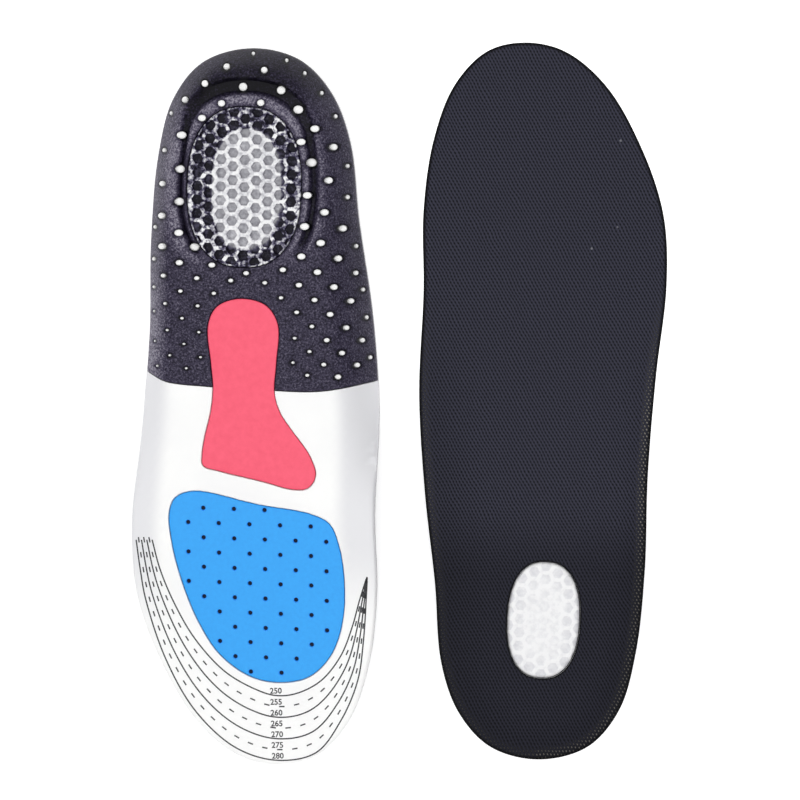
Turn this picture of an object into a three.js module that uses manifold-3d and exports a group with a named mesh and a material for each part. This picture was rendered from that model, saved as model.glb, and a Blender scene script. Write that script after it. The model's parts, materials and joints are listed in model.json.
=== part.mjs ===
// A pair of moulded sport insoles: the right one lies sole down, and the left one is turned over beside it,
// so that its underside shows. Each is a stack of bonded layers: a knitted cover, a white foam base and a
// black foam heel shell, with a clear gel heel pad, a red arch support and a blue forefoot pad let in below.
//
// An insole is modelled in its own frame, in millimetres: right foot, sole down, heel end at the origin,
// +Y towards the toes, +X towards the little toe, +Z up. The left insole is its mirror image.
import * as THREE from "three";
import { mergeVertices } from "three/addons/utils/BufferGeometryUtils.js";
import Module from "manifold-3d";

const wasm = await Module();
wasm.setup();

// ---- Driving dimensions, in millimetres ----

const soleLength = 285;
const soleWidth = 99; // over the ball of the foot
const clearance = 0.3; // between any two bonded pieces
const coverThickness = 0.8;
const heelLinerThickness = 1.2; // the white base where it runs over the heel shell
const heelThickness = 8; // all the layers together, at the middle of the heel
const forefootThickness = 5.5;
const rimThickness = 4.2; // all the layers together, at the top edge of the heel cup

const windowWidth = 28.5; // the opening over the gel pad, through shell, base and cover
const windowLength = 46;
const gelWidth = 45.4;
const gelLength = 63.4;
const gelFlangeThickness = 3.4;
const gelRecess = 0.6; // the pad sits this far inside the sole
const gelPlugDrop = 0.6; // and its top this far below the cover
const gelLean = THREE.MathUtils.degToRad(-3); // its long axis leans towards the little toe
const cellPitch = 5.4;
const cellAcross = 4;
const cellFloor = 0.9; // gel left above each cell of the honeycomb

const moatWidth = 5; // the moulded groove round the back of the gel pad
const moatDepth = 1;
const moatLip = 2; // the ridge between the pad and the groove
const moatReach = 0.36; // how far it runs forward of the pad's middle, as a share of the pad's length

const archThickness = 2.2;
const padThickness = 2.2;
const pinHoleRadius = 0.9;

const pairGap = 15.6; // between the two insoles, at their widest
const leftStagger = -2.6; // the left one lies this much nearer
const leftYaw = THREE.MathUtils.degToRad(181.4); // heel away, and very slightly askew

// The outlines below are drawn for a sole of this size, and stretched to the size that is set above.
const drawnLength = 285;
const drawnWidth = 99;
const gelMiddle = [2.4, 54.7];
// The edge of the sole, anticlockwise from the heel end.
const outlinePoints = [
  [0, 0], [19.5, 5], [32, 19.5], [38.6, 42], [42.3, 75], [43.6, 112], [47.2, 152], [51.6, 188],
  [50.4, 216], [42, 242], [27.6, 267.5], [11, 281.5], [-5, 285], [-20, 281.5], [-33, 268], [-41.4, 246],
  [-45.4, 218], [-45.4, 186], [-47.2, 145], [-45, 106], [-41, 70], [-38.4, 38], [-31.5, 18.5], [-19, 5],
];
// How far the edge stands above the foot bed, and how wide the rising wall is, by distance from the heel.
const outerWall = [[0, 12, 12], [30, 12, 11], [65, 11, 10], [105, 8, 11], [145, 4, 12], [178, 0, 12]];
const innerWall = [[0, 12, 12], [30, 12, 13], [70, 14, 15], [112, 17, 17], [150, 11, 17], [190, 0, 16]];
const bowlSpread = 1.6; // the foot side of the wall is this much wider than the sole side

const archPoints = [
  [5, 98.8], [14.5, 101.6], [18.4, 108.8], [17.7, 124.6], [17.2, 134], [18.3, 143], [21, 153], [22.3, 160],
  [22.1, 164.8], [16, 167], [-1.5, 171.6], [-13.5, 175], [-19.4, 174.6], [-22.6, 170], [-20.4, 161.6],
  [-14.5, 152.8], [-9, 144], [-7.2, 136.6], [-8.3, 124.6], [-9.4, 109.5], [-5, 101.8],
];
const padPoints = [
  [26.3, 175], [33.6, 177.4], [36.2, 183], [35.6, 195], [31.6, 212], [25.4, 228], [17.6, 240.4], [6, 249.2],
  [-5, 251.9], [-17.5, 250], [-26.6, 241.6], [-31.8, 227.6], [-32.8, 212], [-31.2, 198.4], [-27.6, 189.2],
  [-20.4, 185.2], [0.7, 180.9],
];
// The front edge of the heel shell, from beyond one side of the sole to beyond the other.
const shellFront = [
  [-60, 132], [-47, 133.4], [-24, 136.2], [-2, 135], [20, 133.2], [36, 131], [43.5, 127.6], [60, 120],
];

// The pin holes are in staggered rows. The shell is drawn out over the heel when it is moulded, so towards the
// toe its rows close up and narrow, their lean levels out, and the columns drift sideways less and less.
const heelHoles = {
  from: [-15.4, 0.6], across: 15.15, narrowing: 0.00019, along: 7.5, closing: 0.068,
  lean: -0.118, levelling: 0.0003, drift: 0.155, bending: 0.00042,
};
const padHoles = {
  from: [-1.9, 182.9], across: 12.25, narrowing: 0, along: 5.9, closing: 0,
  lean: -0.055, levelling: 0, drift: 0.02, bending: 0,
};
const holeRows = 40; // tried from a grid's start, and as many columns to each side as this
const holeColumns = 6;
const pinHoleSides = 5;
const heelHoleEdge = 3.2; // pin holes keep this far from the edge of the sole
const heelHoleMargin = 1.8; // and this far from the pieces let into the shell
const padHoleMargin = 1.8;

// How finely the moulded surfaces are divided.
const rimSteps = 52;
const wallStations = [0, 0.17, 0.42, 0.75, 1.25]; // of the wall's width, from the edge inwards
const spineEnds = [38, 236]; // the rings of the sole are drawn in from its edge towards this line
const coreShare = 0.3; // the flat middle of the sole, as a share of its half width
const ovalSteps = 26;

// ---- Heights ----

function toSize([x, y]) {
  return [(x * soleWidth) / drawnWidth, (y * soleLength) / drawnLength];
}

function asDrawn(y) {
  return (y * drawnLength) / soleLength;
}

// Straight interpolation in a table of [position, values...].
function lookUp(table, position) {
  const last = table.length - 1;
  if (position <= table[0][0]) return table[0].slice(1);
  if (position >= table[last][0]) return table[last].slice(1);
  const next = table.findIndex((row) => row[0] > position);
  const [a, b] = [table[next - 1], table[next]];
  const share = (position - a[0]) / (b[0] - a[0]);
  return a.slice(1).map((value, i) => THREE.MathUtils.lerp(value, b[i + 1], share));
}

function fullThickness(y) {
  const share = THREE.MathUtils.smoothstep(asDrawn(y), 100, 185);
  return THREE.MathUtils.lerp(heelThickness, forefootThickness, share);
}

// The foot side of the cover, at a point that is `inward` millimetres from the edge.
function footHeight({ y, inward, rim }) {
  const share = Math.max(0, 1 - Math.max(0, inward) / (rim.width * bowlSpread));
  return fullThickness(y) + rim.rise * share ** 2.2;
}

// The underside: flat, and curling up to the thin edge of the cup where the sole has a wall.
function soleHeight({ y, inward, rim }) {
  const share = Math.max(0, 1 - Math.max(0, inward) / rim.width);
  const thinning = (fullThickness(y) - rimThickness) * THREE.MathUtils.smoothstep(rim.rise, 0, 8);
  return (rim.rise + thinning) * share ** 1.7;
}

const below = (depth) => (place) => footHeight(place) - depth;
const baseTop = below(coverThickness + clearance);
const linerUnderside = below(coverThickness + clearance + heelLinerThickness);
const shellTop = below(coverThickness + 2 * clearance + heelLinerThickness);

// ---- Solids ----

function manifoldOf(vertProperties, triVerts) {
  return new wasm.Manifold(new wasm.Mesh({ numProp: 3, vertProperties, triVerts }));
}

function smoothLoop(points, steps) {
  const placed = points.map((point) => new THREE.Vector3(...toSize(point), 0));
  const spaced = new THREE.CatmullRomCurve3(placed, true).getSpacedPoints(steps);
  return spaced.slice(0, steps).map((p) => new THREE.Vector2(p.x, p.y));
}

// A closed anticlockwise loop, moved outwards by `distance`.
function offsetLoop(loop, distance) {
  return loop.map((point, i) => {
    const before = loop[(i + loop.length - 1) % loop.length];
    const after = loop[(i + 1) % loop.length];
    const along = after.clone().sub(before).normalize();
    return new THREE.Vector2(point.x + along.y * distance, point.y - along.x * distance);
  });
}

const gelCentre = new THREE.Vector2(...toSize(gelMiddle));

function ovalLoop(width, length, steps = ovalSteps) {
  const fullness = 0.84; // 1 is an ellipse, and less is squarer
  return Array.from({ length: steps }, (_, i) => {
    const angle = (2 * Math.PI * i) / steps;
    const [c, s] = [Math.cos(angle), Math.sin(angle)];
    const x = (Math.sign(c) * Math.abs(c) ** fullness * width) / 2;
    const y = (Math.sign(s) * Math.abs(s) ** fullness * length) / 2;
    return new THREE.Vector2(x, y).rotateAround(new THREE.Vector2(), gelLean).add(gelCentre);
  });
}

const edge = smoothLoop(outlinePoints, rimSteps);
const [spineHeel, spineToe] = spineEnds.map((y) => toSize([0, y])[1]);

function rimAt({ x, y }) {
  const [rise, width] = lookUp(x > 0 ? outerWall : innerWall, asDrawn(y));
  return { rise, width };
}

// The rings of the sole, from its edge inwards, each point with what the height functions read.
function soleRings(outset) {
  const columns = edge.map((point) => {
    const spine = new THREE.Vector2(0, THREE.MathUtils.clamp(point.y, spineHeel, spineToe));
    const inwards = spine.clone().sub(point).normalize();
    return { point, rim: rimAt(point), inwards, reach: spine.distanceTo(point) };
  });
  const ring = (distance) =>
    columns.map((column) => {
      const inward = distance(column);
      const { x, y } = column.point.clone().addScaledVector(column.inwards, inward);
      return { x, y, inward, rim: column.rim };
    });
  const walls = wallStations.map((station) => ring(({ rim }) => station * rim.width));
  const skirt = outset ? [ring(() => -outset)] : [];
  return [...skirt, ...walls, ring(({ reach }) => reach * (1 - coreShare))];
}

// A layer of the sole between two height functions, as a closed solid.
function layer(low, high, outset = 0) {
  const rings = soleRings(outset);
  const count = rimSteps;
  const places = rings.flat();
  const vertices = [low, high].flatMap((height) => places.flatMap((p) => [p.x, p.y, height(p)]));
  const triangles = [];
  const quad = (a, b, c, d) => triangles.push(a, b, c, a, c, d);
  const top = places.length;
  for (let i = 0; i < count; i++) {
    const next = (i + 1) % count;
    quad(i, next, top + next, top + i);
    for (let r = 0; r + 1 < rings.length; r++) {
      const [a, b] = [r * count + i, r * count + next];
      quad(top + a, top + b, top + b + count, top + a + count);
      quad(a, a + count, b + count, b);
    }
  }
  const core = (rings.length - 1) * count;
  const loop = rings.at(-1).map(({ x, y }) => new THREE.Vector2(x, y));
  for (const [a, b, c] of THREE.ShapeUtils.triangulateShape(loop, [])) {
    triangles.push(top + core + a, top + core + b, top + core + c);
    triangles.push(core + a, core + c, core + b);
  }
  return manifoldOf(new Float32Array(vertices), new Uint32Array(triangles));
}

function solidFrom(geometry) {
  const bare = geometry.clone();
  bare.deleteAttribute("normal");
  bare.deleteAttribute("uv");
  const merged = mergeVertices(bare, 1e-4);
  return manifoldOf(merged.attributes.position.array, new Uint32Array(merged.index.array));
}

// An upright prism over a loop, from one height to another.
function prism(loop, low, high, holes = []) {
  const shape = new THREE.Shape(loop);
  shape.holes = holes.map((hole) => new THREE.Path(hole));
  const geometry = new THREE.ExtrudeGeometry(shape, { depth: high - low, bevelEnabled: false });
  return solidFrom(geometry.translate(0, 0, low));
}

const deep = -5; // below everything
const tall = 60; // above everything

function inside(loop, { x, y }) {
  let within = false;
  loop.forEach((a, i) => {
    const b = loop[(i + 1) % loop.length];
    if (a.y > y !== b.y > y && x < ((b.x - a.x) * (y - a.y)) / (b.y - a.y) + a.x) within = !within;
  });
  return within;
}

// The places in a grid of pin holes that `keep` accepts.
function holePlaces(grid, keep) {
  const [startX, startY] = toSize(grid.from);
  const places = [];
  for (let row = 0; row < holeRows; row++)
    for (let column = -holeColumns; column <= holeColumns; column++) {
      const advance = grid.along * row - grid.closing * row ** 2;
      const pitch = grid.across - grid.narrowing * advance ** 2;
      const drifted = grid.drift * advance - grid.bending * advance ** 2;
      const x = startX + pitch * (column + (row % 2) / 2) + drifted;
      places.push(new THREE.Vector2(x, startY + advance + (grid.lean + grid.levelling * advance) * x));
    }
  return places.filter(keep);
}

function pinHoles(places) {
  const pin = new THREE.CylinderGeometry(pinHoleRadius, pinHoleRadius, tall - deep, pinHoleSides)
    .rotateX(Math.PI / 2);
  return places.map(({ x, y }) => solidFrom(pin.clone().translate(x, y, (tall + deep) / 2)));
}

function cutAll(solid, cutters) {
  return cutters.reduce((rest, cutter) => rest.subtract(cutter), solid);
}

// ---- The pieces ----

const archEdge = smoothLoop(archPoints, 40);
const padEdge = smoothLoop(padPoints, 40);
const gelEdge = ovalLoop(gelWidth, gelLength);
const windowEdge = ovalLoop(windowWidth, windowLength);
const windowCut = prism(offsetLoop(windowEdge, clearance), deep, tall);

const frontCurve = new THREE.SplineCurve(shellFront.map((point) => new THREE.Vector2(...toSize(point))));
const heelRegion = (advance) => {
  const front = frontCurve.getPoints(24).map(({ x, y }) => new THREE.Vector2(x, y + advance));
  const corners = [front[0], front.at(-1)].map(({ x }) => new THREE.Vector2(x, deep));
  return prism([...front.reverse(), ...corners], deep, tall);
};

function topCover() {
  return layer(below(coverThickness), footHeight).subtract(windowCut);
}

function foamBase() {
  const shellSpace = layer(() => deep, linerUnderside, 5).intersect(heelRegion(clearance));
  return cutAll(layer(soleHeight, baseTop), [
    shellSpace,
    windowCut,
    prism(offsetLoop(archEdge, clearance), deep, archThickness + clearance),
    prism(offsetLoop(padEdge, clearance), deep, padThickness + clearance),
  ]);
}

// The groove follows the gel pad round the heel and stops short of the arch.
function moat() {
  const inner = offsetLoop(gelEdge, moatLip);
  const outer = offsetLoop(gelEdge, moatLip + moatWidth);
  const side = gelWidth;
  const front = gelCentre.y + gelLength * moatReach;
  const corners = [[-side, deep], [side, deep], [side, front], [-side, front]];
  const kept = prism(corners.map(([x, y]) => new THREE.Vector2(x, y)), deep, tall);
  return prism(outer, deep, moatDepth, [inner]).intersect(kept);
}

function heelShell() {
  const kept = offsetLoop(edge, -heelHoleEdge);
  const gelArea = offsetLoop(gelEdge, heelHoleMargin);
  const archArea = offsetLoop(archEdge, heelHoleMargin);
  const shellEnd = ({ x, y }) => frontCurve.getPoints(60).find((p) => p.x >= x).y - heelHoleMargin > y;
  const places = holePlaces(heelHoles, (p) =>
    inside(kept, p) && shellEnd(p) && !inside(gelArea, p) && !inside(archArea, p));
  return cutAll(layer(soleHeight, shellTop).intersect(heelRegion(0)), [
    windowCut,
    prism(offsetLoop(gelEdge, clearance), deep, gelRecess + gelFlangeThickness + clearance),
    prism(offsetLoop(archEdge, clearance), deep, archThickness + clearance),
    moat(),
    ...pinHoles(places),
  ]);
}

// A flange under the shell, a plug up through the window, and a honeycomb of blind cells from below.
function gelHeelPad() {
  const flangeTop = gelRecess + gelFlangeThickness;
  const plug = prism(windowEdge, gelRecess, heelThickness - gelPlugDrop);
  const body = prism(gelEdge, gelRecess, flangeTop).add(plug);
  const cellRadius = cellAcross / Math.sqrt(3);
  const cellArea = offsetLoop(gelEdge, -cellRadius - 0.6);
  const cell = new THREE.CylinderGeometry(cellRadius, cellRadius, flangeTop - cellFloor - deep, 6)
    .rotateX(Math.PI / 2)
    .rotateZ(Math.PI / 2);
  const cells = [];
  const columnPitch = (cellPitch * Math.sqrt(3)) / 2;
  const reach = Math.ceil(gelLength / cellPitch / 2);
  for (let column = -reach; column <= reach; column++)
    for (let row = -reach; row <= reach; row++) {
      const offset = new THREE.Vector2(column * columnPitch, (row + (column % 2) / 2) * cellPitch);
      const place = offset.rotateAround(new THREE.Vector2(), gelLean).add(gelCentre);
      const turned = cell.clone().rotateZ(gelLean);
      if (inside(cellArea, place))
        cells.push(solidFrom(turned.translate(place.x, place.y, (flangeTop - cellFloor + deep) / 2)));
    }
  return cutAll(body, cells);
}

function archSupport() {
  return prism(archEdge, 0, archThickness);
}

function forefootPad() {
  const kept = offsetLoop(padEdge, -padHoleMargin);
  return cutAll(prism(padEdge, 0, padThickness), pinHoles(holePlaces(padHoles, (p) => inside(kept, p))));
}

// ---- The assembly ----

const pieces = {
  top_cover: { solid: topCover(), color: 0x2e2f38, roughness: 0.95 },
  foam_base: { solid: foamBase(), color: 0xf4f4f4, roughness: 0.6 },
  heel_shell: { solid: heelShell(), color: 0x2a2833, roughness: 0.5 },
  gel_heel_pad: { solid: gelHeelPad(), color: 0xe4e6ea, roughness: 0.15 },
  arch_support: { solid: archSupport(), color: 0xfa5e78, roughness: 0.55 },
  forefoot_pad: { solid: forefootPad(), color: 0x32a5f8, roughness: 0.7 },
};

function geometryOf(solid) {
  const { vertProperties, triVerts } = solid.getMesh();
  return new THREE.BufferGeometry()
    .setAttribute("position", new THREE.BufferAttribute(vertProperties, 3))
    .setIndex(new THREE.BufferAttribute(triVerts, 1));
}

function insole(side) {
  const group = new THREE.Group();
  for (const [name, { solid, color, roughness }] of Object.entries(pieces)) {
    const material = new THREE.MeshStandardMaterial({ color, roughness, metalness: 0 });
    const mesh = new THREE.Mesh(geometryOf(solid), material);
    mesh.name = `${side}_${name}`;
    group.add(mesh);
  }
  return group;
}

// Turned over, an insole rests on three points of its edge, with its centre of mass between them.
function restingTilt() {
  const rim = edge.map(({ x, y }) => {
    const height = footHeight({ x, y, inward: 0, rim: rimAt({ x, y }) });
    return new THREE.Vector3(x, y, -height); // mirrored and turned over, so x is as on the right foot
  });
  const middle = edge.reduce((sum, point) => sum.add(point), new THREE.Vector2()).divideScalar(edge.length);
  const anticlockwise = ([a, b, c]) => (b.x - a.x) * (c.y - a.y) > (b.y - a.y) * (c.x - a.x);
  const floorNormal = new THREE.Vector3(0, 0, 1);
  for (const a of rim)
    for (const b of rim)
      for (const c of rim) {
        if (![[a, b, c], [a, b, middle], [b, c, middle], [c, a, middle]].every(anticlockwise)) continue;
        const up = b.clone().sub(a).cross(c.clone().sub(a)).normalize();
        const lowest = Math.min(...rim.map((p) => p.clone().sub(a).dot(up)));
        if (lowest > -1e-6) return new THREE.Quaternion().setFromUnitVectors(up, floorNormal);
      }
  return new THREE.Quaternion();
}

function nested(child, { quaternion, turn, mirror }) {
  const group = new THREE.Group();
  if (quaternion) group.quaternion.copy(quaternion);
  if (turn) group.rotation.set(0, turn.y ?? 0, turn.z ?? 0);
  if (mirror) group.scale.x = -1;
  return group.add(child);
}

// Moves a group so that the middle of its footprint is at (x, y) on the floor.
function setDown(group, x, y) {
  const box = new THREE.Box3().setFromObject(group, true);
  const middle = box.getCenter(new THREE.Vector3());
  group.position.add(new THREE.Vector3(x - middle.x, y - middle.y, -box.min.z));
  return group;
}

const pairPitch = soleWidth + pairGap;
const right = setDown(insole("right"), pairPitch / 2, -leftStagger / 2);
const turnedOver = nested(nested(insole("left"), { mirror: true }), { turn: { y: Math.PI } });
const left = setDown(
  nested(nested(turnedOver, { quaternion: restingTilt() }), { turn: { z: leftYaw } }),
  -pairPitch / 2,
  leftStagger / 2,
);

const pair = new THREE.Group();
pair.add(right, left);
setDown(pair, 0, 0);
export default pair;
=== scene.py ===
import json
import math
from types import SimpleNamespace

import bpy
import numpy as np
from mathutils import Matrix, Vector
from mathutils.geometry import delaunay_2d_cdt
from mathutils.kdtree import KDTree


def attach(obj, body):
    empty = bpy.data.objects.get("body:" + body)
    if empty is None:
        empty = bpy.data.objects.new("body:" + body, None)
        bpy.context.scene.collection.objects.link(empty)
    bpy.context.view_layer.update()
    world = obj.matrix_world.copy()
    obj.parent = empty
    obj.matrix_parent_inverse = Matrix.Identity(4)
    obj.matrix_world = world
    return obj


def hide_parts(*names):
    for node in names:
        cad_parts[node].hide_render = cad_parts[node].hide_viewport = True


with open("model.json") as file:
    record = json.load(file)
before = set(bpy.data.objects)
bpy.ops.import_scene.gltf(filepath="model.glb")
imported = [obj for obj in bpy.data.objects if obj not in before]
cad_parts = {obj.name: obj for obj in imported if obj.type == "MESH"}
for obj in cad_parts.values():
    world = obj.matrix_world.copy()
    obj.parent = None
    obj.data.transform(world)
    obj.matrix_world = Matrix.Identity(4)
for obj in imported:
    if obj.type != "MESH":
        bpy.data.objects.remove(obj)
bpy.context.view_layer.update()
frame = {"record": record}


# ---- The studio ----
# The pair lies on a wide white sheet of satin laminate that glows faintly, seen from straight above. Four
# soft boxes stand round it and a wide one hangs over it, so sloping edges turn a little grey.

def linear(colour):
    """A hex sRGB colour as linear RGBA."""
    parts = [int(colour[i:i + 2], 16) / 255 for i in (1, 3, 5)]
    return (*[c / 12.92 if c <= 0.04045 else ((c + 0.055) / 1.055) ** 2.4 for c in parts], 1)


def material_named(name, colour, roughness):
    """A new material and its main shader."""
    material = bpy.data.materials.new(name)
    material.use_nodes = True
    material.diffuse_color = linear(colour)
    shader = material.node_tree.nodes["Principled BSDF"]
    shader.inputs["Base Color"].default_value = linear(colour)
    shader.inputs["Roughness"].default_value = roughness
    return material, shader


CAMERA_HEIGHT, VIEW_WIDTH, SENSOR_WIDTH = 2.0, 0.32, 36
FLOOR_HALF, FLOOR_DROP = 4.0, 0.0006
SOFT_BOXES = [  # name, place, size and watts
    ("left", (-1.35, 0, 1.45), (1.5, 0.9), 6.2),
    ("right", (1.35, 0, 1.45), (1.5, 0.9), 4.6),
    ("near", (0, -1.35, 1.45), (1.5, 0.9), 5.6),
    ("far", (0, 1.35, 1.45), (1.5, 0.9), 5.2),
    ("above", (0, 0, 1.75), (1.5, 1.5), 12),
]

camera = bpy.data.objects.new("camera", bpy.data.cameras.new("camera"))
camera.location = (0.0002, 0.0014, CAMERA_HEIGHT)
camera.data.sensor_width = SENSOR_WIDTH
camera.data.lens = SENSOR_WIDTH * CAMERA_HEIGHT / VIEW_WIDTH
bpy.context.scene.collection.objects.link(camera)
bpy.context.scene.camera = camera
bpy.context.scene.view_settings.view_transform = "Standard"

floor_mesh = bpy.data.meshes.new("floor")
floor_corners = ((-1, -1), (1, -1), (1, 1), (-1, 1))
floor_mesh.from_pydata(
    [(x * FLOOR_HALF, y * FLOOR_HALF, -FLOOR_DROP) for x, y in floor_corners], [], [(0, 1, 2, 3)])
floor = bpy.data.objects.new("floor", floor_mesh)
bpy.context.scene.collection.objects.link(floor)
laminate, laminate_shader = material_named("white_laminate_satin", "#F8F8F8", 0.9)
laminate_shader.inputs["Specular IOR Level"].default_value = 0.1
laminate_shader.inputs["Emission Color"].default_value = linear("#FFFFFF")
laminate_shader.inputs["Emission Strength"].default_value = 0.5
floor_mesh.materials.append(laminate)

world = bpy.data.worlds.new("studio_room")
world.use_nodes = True
world.node_tree.nodes["Background"].inputs["Color"].default_value = (1, 1, 1, 1)
world.node_tree.nodes["Background"].inputs["Strength"].default_value = 0.34
bpy.context.scene.world = world

for name, place, size, power in SOFT_BOXES:
    lamp = bpy.data.lights.new("soft_box_" + name, "AREA")
    lamp.shape = "RECTANGLE"
    lamp.size, lamp.size_y = size
    lamp.energy = power
    soft_box = bpy.data.objects.new(lamp.name, lamp)
    soft_box.location = place
    soft_box.rotation_euler = soft_box.location.to_track_quat("Z", "Y").to_euler()
    soft_box.visible_camera = False
    bpy.context.scene.collection.objects.link(soft_box)


# ---- The foam base ----
# The white body of each insole is EVA foam, moulded hot in a steel mould: full thickness at the toes, and a
# thin liner over the heel shell. The arch support and the forefoot pad are glued into pockets from below.

# Everything on an insole is drawn for a right foot lying sole down, in millimetres, with the heel end at the
# origin and the toes towards +Y, and is put on the right or the left insole afterwards.
SOLE_EDGE = [
    (0, 0), (19.5, 5), (32, 19.5), (38.6, 42), (42.3, 75), (43.6, 112), (47.2, 152), (51.6, 188),
    (50.4, 216), (42, 242), (27.6, 267.5), (11, 281.5), (-5, 285), (-20, 281.5), (-33, 268),
    (-41.4, 246), (-45.4, 218), (-45.4, 186), (-47.2, 145), (-45, 106), (-41, 70), (-38.4, 38),
    (-31.5, 18.5), (-19, 5),
]
ARCH_EDGE = [
    (5, 98.8), (14.5, 101.6), (18.4, 108.8), (17.7, 124.6), (17.2, 134), (18.3, 143), (21, 153),
    (22.3, 160), (22.1, 164.8), (16, 167), (-1.5, 171.6), (-13.5, 175), (-19.4, 174.6), (-22.6, 170),
    (-20.4, 161.6), (-14.5, 152.8), (-9, 144), (-7.2, 136.6), (-8.3, 124.6), (-9.4, 109.5), (-5, 101.8),
]
PAD_EDGE = [
    (26.3, 175), (33.6, 177.4), (36.2, 183), (35.6, 195), (31.6, 212), (25.4, 228), (17.6, 240.4),
    (6, 249.2), (-5, 251.9), (-17.5, 250), (-26.6, 241.6), (-31.8, 227.6), (-32.8, 212),
    (-31.2, 198.4), (-27.6, 189.2), (-20.4, 185.2), (0.7, 180.9),
]
SHELL_FRONT = [
    (-60, 132), (-47, 133.4), (-24, 136.2), (-2, 135), (20, 133.2), (36, 131), (43.5, 127.6), (60, 120),
]
# The edge's height over the foot bed and the width of the rising wall, by distance from the heel end.
OUTER_WALL = [(0, 12, 12), (30, 12, 11), (65, 11, 10), (105, 8, 11), (145, 4, 12), (178, 0, 12)]
INNER_WALL = [(0, 12, 12), (30, 12, 13), (70, 14, 15), (112, 17, 17), (150, 11, 17), (190, 0, 16)]
HEEL_THICKNESS, FOREFOOT_THICKNESS, RIM_THICKNESS = 8, 5.5, 4.2
COVER_THICKNESS, LINER_THICKNESS, GLUE_GAP = 0.8, 1.2, 0.3
POCKET_DEPTH = 2.5
WINDOW = (28.5, 46)
GEL_MIDDLE, GEL_LEAN = np.array((2.4, 54.7)), math.radians(-3)
GEL_TURN = np.array([[math.cos(GEL_LEAN), math.sin(GEL_LEAN)], [-math.sin(GEL_LEAN), math.cos(GEL_LEAN)]])
PLACES = {
    "right": ("right_toe_sole", 0, 1),
    "left": ("left_toe_sole", math.radians(181.4), -1),
}
TOE_MARK = Vector((-5, 267, 0)) / 1000


def smoothstep(low, high, value):
    share = np.clip((value - low) / (high - low), 0, 1)
    return share * share * (3 - 2 * share)


def resampled(line, spacing, closed=True):
    """The line with its vertices an even distance apart."""
    whole = np.vstack([line, line[:1]]) if closed else line
    run = np.concatenate([[0], np.cumsum(np.linalg.norm(np.diff(whole, axis=0), axis=1))])
    count = max(int(round(run[-1] / spacing)), 3)
    at = np.linspace(0, run[-1], count + 1)[: count if closed else None]
    return np.stack([np.interp(at, run, whole[:, i]) for i in (0, 1)], 1)


def curve_through(points, spacing, closed=True):
    """A smooth centripetal curve through the points, with its vertices an even distance apart."""
    p = np.array(points, float)
    if closed:
        before, after, beyond = (np.roll(p, shift, 0) for shift in (1, -1, -2))
    else:
        longer = np.vstack([2 * p[0] - p[1], p, 2 * p[-1] - p[-2]])
        before, p, after, beyond = longer[:-3], longer[1:-2], longer[2:-1], longer[3:]
    k0, k1, k2 = (np.linalg.norm(b - a, axis=1)[:, None] ** 0.5
                  for a, b in ((before, p), (p, after), (after, beyond)))
    leaving = k1 * ((p - before) / k0 - (after - before) / (k0 + k1) + (after - p) / k1)
    arriving = k1 * ((after - p) / k1 - (beyond - p) / (k1 + k2) + (beyond - after) / k2)
    t = np.linspace(0, 1, 30, endpoint=False)[:, None, None]
    fine = (p + leaving * t + (3 * (after - p) - 2 * leaving - arriving) * t**2
            + (2 * (p - after) + leaving + arriving) * t**3)
    fine = fine.swapaxes(0, 1).reshape(-1, 2)
    return resampled(fine if closed else np.vstack([fine, after[-1:]]), spacing, closed)


def moved_out(loop, distance):
    """An anticlockwise loop, moved outwards."""
    along = np.roll(loop, -1, 0) - np.roll(loop, 1, 0)
    along /= np.linalg.norm(along, axis=1)[:, None]
    return loop + distance * np.stack([along[:, 1], -along[:, 0]], 1)


def oval(width, length, spacing=1.0):
    """A slightly squared oval on the gel pad's middle."""
    angle = np.linspace(0, 2 * np.pi, 400, endpoint=False)
    c, s = np.cos(angle), np.sin(angle)
    x = np.sign(c) * np.abs(c) ** 0.84 * width / 2
    y = np.sign(s) * np.abs(s) ** 0.84 * length / 2
    return resampled(np.stack([x, y], 1) @ GEL_TURN + GEL_MIDDLE, spacing)


def measured(places, loop):
    """For each place: how far inside the loop it is, below 0 outside, and the loop's nearest vertex."""
    a, b = loop, np.roll(loop, -1, 0)
    side = b - a
    inward, nearest = [], []
    for p in np.array_split(np.asarray(places, float)[:, None], len(places) // 1500 + 1):
        share = np.clip(((p - a) * side).sum(-1) / (side**2).sum(-1), 0, 1)
        gap = np.linalg.norm(a + share[..., None] * side - p, axis=-1)
        level = np.where(side[:, 1] == 0, 1, side[:, 1])
        crossed = side[:, 0] * (p[..., 1] - a[:, 1]) / level + a[:, 0]
        passes = ((a[:, 1] > p[..., 1]) != (b[:, 1] > p[..., 1])) & (p[..., 0] < crossed)
        inward.append(np.where(passes.sum(1) % 2 == 1, 1, -1) * gap.min(1))
        nearest.append(gap.argmin(1))
    return np.concatenate(inward), np.concatenate(nearest)


sole_edge = curve_through(SOLE_EDGE, 1.6)
arch_edge = curve_through(ARCH_EDGE, 1.0)
pad_edge = curve_through(PAD_EDGE, 1.0)
window_edge = oval(*WINDOW)
front_line = curve_through(SHELL_FRONT, 0.5, closed=False)


def shell_front(x):
    return np.interp(x, front_line[:, 0], front_line[:, 1])


def eased(table, column, y):
    """A column of a wall table, with its corners softened."""
    rows = np.array(table, float)
    reach = np.linspace(-14, 14, 15)
    weight = np.cos(reach / 14 * np.pi / 2) ** 2
    values = np.interp(np.abs(np.asarray(y)[:, None] + reach), rows[:, 0], rows[:, column])
    return (values * weight).sum(1) / weight.sum()


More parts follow.
